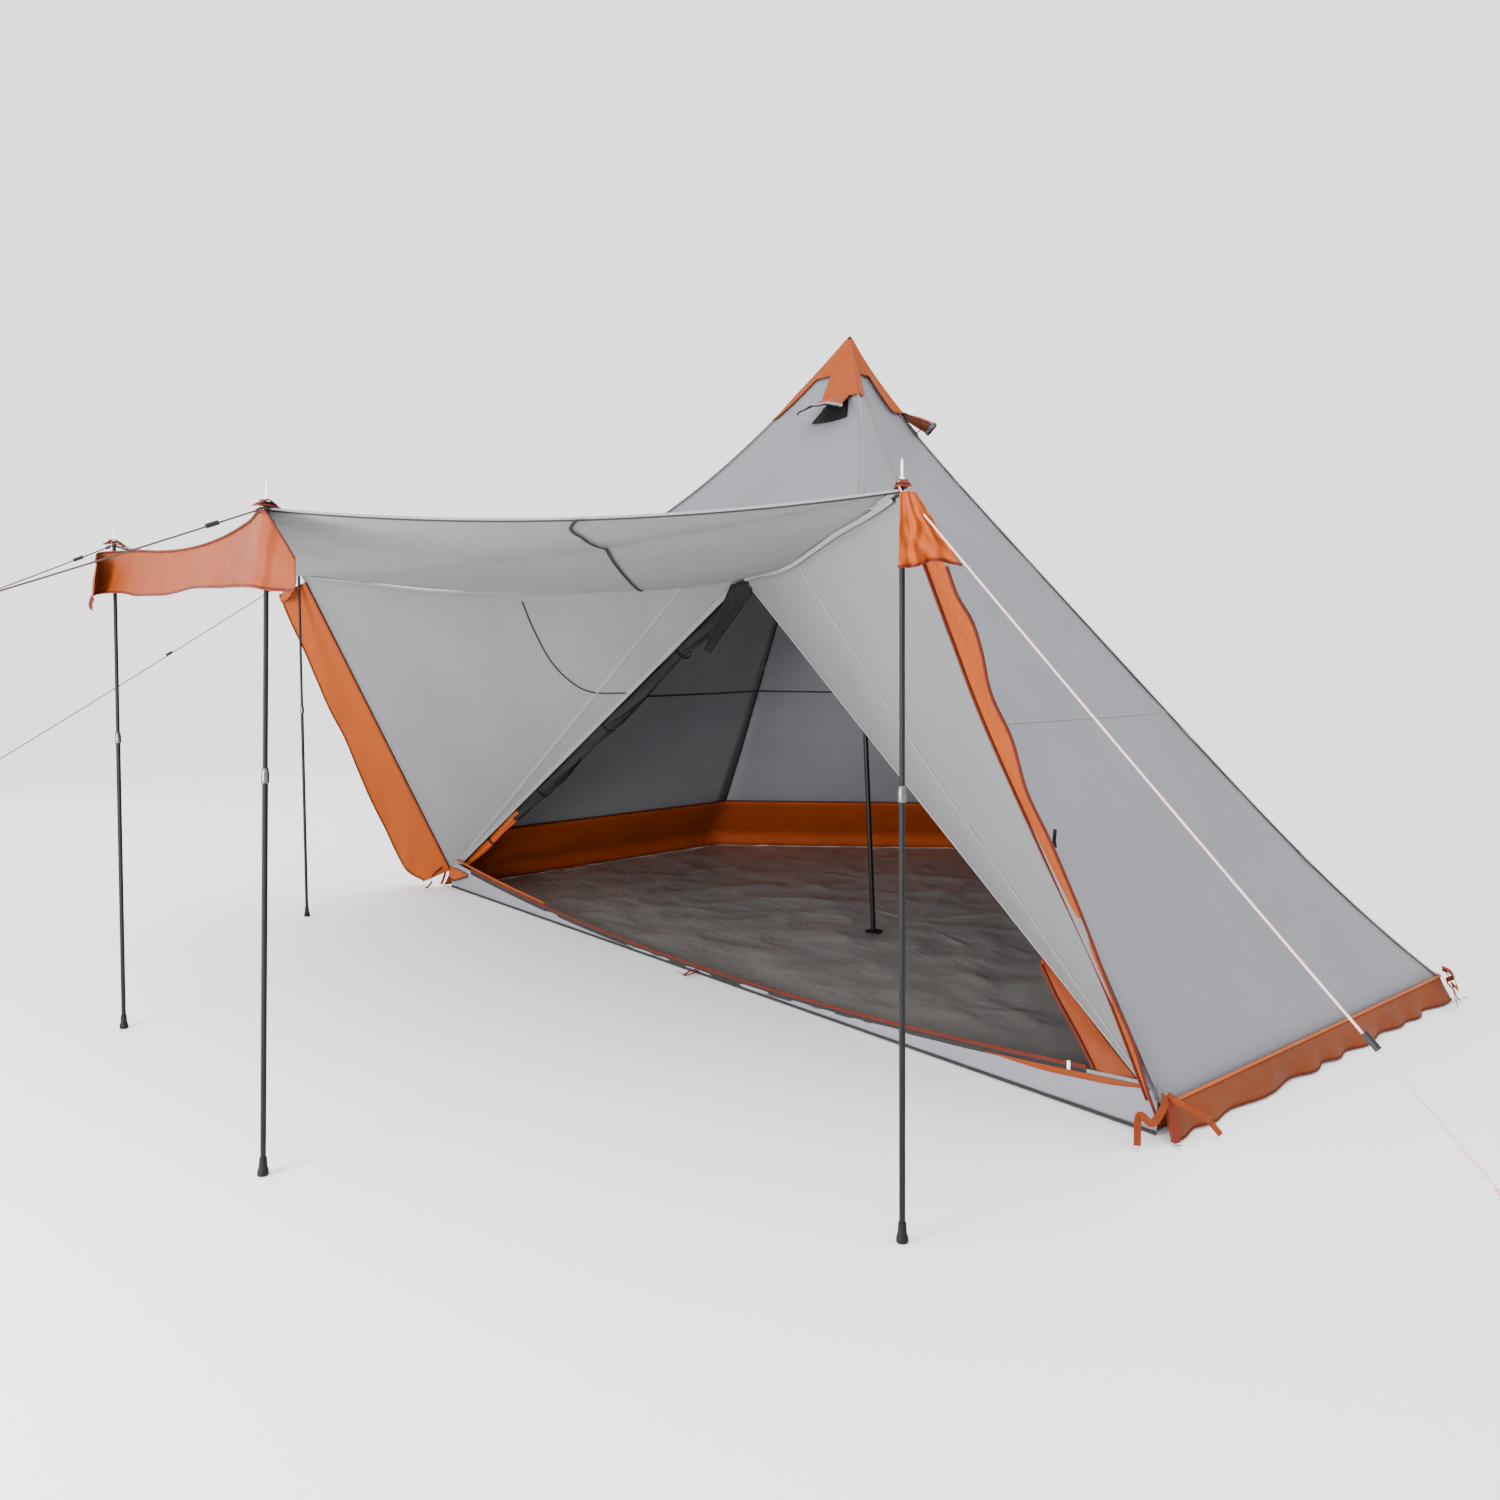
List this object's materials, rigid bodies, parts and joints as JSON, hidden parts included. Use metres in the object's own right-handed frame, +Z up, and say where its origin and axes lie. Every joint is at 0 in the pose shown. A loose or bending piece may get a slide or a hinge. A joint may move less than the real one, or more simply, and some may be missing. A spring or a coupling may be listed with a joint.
{
  "type": "teepee tent",
  "caption": "Teepee tent with a centre pole, a propped front awning on slim poles, side wings, a rolled door, hooded vents, a groundsheet and guy lines.",
  "frame": {"origin": "on the ground, under the middle of the groundsheet's underside", "axes": "+Z up; -Y is the way the doorway and the awning face; +X is to the right when facing the doorway"},
  "size_m": [6.1956, 6.5122, 2.9879],
  "materials": {
    "grey_fabric": "woven polyester with a faint sheen",
    "orange_fabric": "woven polyester with a faint sheen",
    "floor_fabric": "coated groundsheet, satin and creased",
    "mesh_fabric": "fine insect mesh and rolled cloth",
    "black_steel": "satin powder coat",
    "bright_steel": "bright galvanised wire",
    "guy_cord": "thin braided cord",
    "black_plastic": "moulded, matte",
    "white_plastic": "moulded, smooth"
  },
  "bodies": {
    "tent": {"right_side_panel": "grey_fabric", "right_back_panel": "grey_fabric", "back_panel": "grey_fabric", "left_back_panel": "grey_fabric", "left_side_panel": "grey_fabric", "right_front_panel": "grey_fabric", "left_front_panel": "grey_fabric", "front_hood": "grey_fabric", "awning_roof": "grey_fabric", "right_wing": "grey_fabric", "left_wing": "grey_fabric", "right_wing_skirt": "orange_fabric", "left_wing_skirt": "orange_fabric", "awning_valance": "orange_fabric", "ground_skirt": "orange_fabric", "inner_wall": "orange_fabric", "groundsheet": "floor_fabric", "door_sill": "grey_fabric", "door_roll": "mesh_fabric", "top_cap": "orange_fabric", "centre_pole_lower": "black_steel", "centre_pole_middle": "black_steel", "centre_pole_upper": "black_steel", "centre_pole_foot": "black_plastic", "awning_pole_lower_right_outer": "black_steel", "awning_pole_upper_right_outer": "black_steel", "guy_line_right_outer": "guy_cord", "guy_ring_right_outer": "bright_steel", "awning_pole_lower_right_front": "black_steel", "awning_pole_upper_right_front": "black_steel", "guy_line_right_front": "guy_cord", "guy_ring_right_front": "bright_steel", "awning_pole_lower_left_front": "black_steel", "awning_pole_upper_left_front": "black_steel", "guy_line_left_front": "guy_cord", "guy_ring_left_front": "bright_steel", "awning_pole_lower_left_outer": "black_steel", "awning_pole_upper_left_outer": "black_steel", "guy_line_left_outer": "guy_cord", "guy_ring_left_outer": "bright_steel", "peg_right_front": "bright_steel", "peg_right_side": "bright_steel", "peg_right_back": "bright_steel", "peg_left_back": "bright_steel", "peg_left_side": "bright_steel", "peg_left_front": "bright_steel", "peg_door": "bright_steel"},
    "vent_hood_right_front": {"vent_hood_right_front": "grey_fabric"},
    "vent_prop_right_front": {"vent_prop_right_front": "black_plastic"},
    "vent_hood_right_back": {"vent_hood_right_back": "grey_fabric"},
    "vent_prop_right_back": {"vent_prop_right_back": "black_plastic"},
    "vent_hood_left_back": {"vent_hood_left_back": "grey_fabric"},
    "vent_prop_left_back": {"vent_prop_left_back": "black_plastic"},
    "vent_hood_left_side": {"vent_hood_left_side": "grey_fabric"},
    "vent_prop_left_side": {"vent_prop_left_side": "black_plastic"},
    "zip_slider": {"zip_slider": "white_plastic"},
    "guy_runner_right_outer": {"guy_runner_right_outer": "black_plastic"},
    "guy_runner_right_front": {"guy_runner_right_front": "black_plastic"},
    "guy_runner_left_front": {"guy_runner_left_front": "black_plastic"},
    "guy_runner_left_outer": {"guy_runner_left_outer": "black_plastic"}
  },
  "joints": [
    {"name": "vent_hood_right_front_hinge", "type": "hinge", "parent": "tent", "child": "vent_hood_right_front", "pos_m": [0.13854, -0.32361, 2.6657], "axis": [1, 0, 0], "range_deg": [0, 24]},
    {"name": "vent_prop_right_front_hinge", "type": "hinge", "parent": "tent", "child": "vent_prop_right_front", "pos_m": [0.13854, -0.3912, 2.5787], "axis": [1, 0, 0], "range_deg": [0, 86]},
    {"name": "vent_hood_right_back_hinge", "type": "hinge", "parent": "tent", "child": "vent_hood_right_back", "pos_m": [0.21659, 0.03789, 2.61611], "axis": [-0.7054, 0.7089, 0], "range_deg": [0, 24]},
    {"name": "vent_prop_right_back_hinge", "type": "hinge", "parent": "tent", "child": "vent_prop_right_back", "pos_m": [0.26756, 0.08861, 2.53264], "axis": [-0.7054, 0.7089, 0], "range_deg": [0, 86]},
    {"name": "vent_hood_left_back_hinge", "type": "hinge", "parent": "tent", "child": "vent_hood_left_back", "pos_m": [-0.14806, 0.10677, 2.6161], "axis": [-0.7054, -0.7089, 0], "range_deg": [0, 24]},
    {"name": "vent_prop_left_back_hinge", "type": "hinge", "parent": "tent", "child": "vent_prop_left_back", "pos_m": [-0.19899, 0.15744, 2.53258], "axis": [-0.7054, -0.7089, 0], "range_deg": [0, 86]},
    {"name": "vent_hood_left_side_hinge", "type": "hinge", "parent": "tent", "child": "vent_hood_left_side", "pos_m": [-0.24651, -0.13538, 2.61596], "axis": [0.0393, -0.9992, 0], "range_deg": [0, 24]},
    {"name": "vent_prop_left_side_hinge", "type": "hinge", "parent": "tent", "child": "vent_prop_left_side", "pos_m": [-0.3168, -0.13815, 2.53118], "axis": [0.0393, -0.9992, 0], "range_deg": [0, 86]},
    {"name": "zip_slider_run", "type": "hinge", "parent": "tent", "child": "zip_slider", "pos_m": [0, -1.158, 20.13045], "axis": [0, 1, 0], "range_deg": [0, 11.6]},
    {"name": "guy_runner_right_outer_slide", "type": "slide", "parent": "tent", "child": "guy_runner_right_outer", "axis": [0.7217, 0, -0.6922], "range_m": [-0.8, 0.25]},
    {"name": "guy_runner_right_front_slide", "type": "slide", "parent": "tent", "child": "guy_runner_right_front", "axis": [-0.0448, -0.9318, -0.3601], "range_m": [-0.08, 0.5]},
    {"name": "guy_runner_left_front_slide", "type": "slide", "parent": "tent", "child": "guy_runner_left_front", "axis": [-0.1263, -0.8996, -0.418], "range_m": [-0.08, 0.3]},
    {"name": "guy_runner_left_outer_slide", "type": "slide", "parent": "tent", "child": "guy_runner_left_outer", "axis": [-0.2154, -0.8032, -0.5554], "range_m": [-0.5, 0.9]}
  ],
  "couplings": [
    {"joint": "vent_prop_right_front_hinge", "follows": "vent_hood_right_front_hinge", "ratio": 3.58},
    {"joint": "vent_prop_right_back_hinge", "follows": "vent_hood_right_back_hinge", "ratio": 3.58},
    {"joint": "vent_prop_left_back_hinge", "follows": "vent_hood_left_back_hinge", "ratio": 3.58},
    {"joint": "vent_prop_left_side_hinge", "follows": "vent_hood_left_side_hinge", "ratio": 3.58}
  ]
}
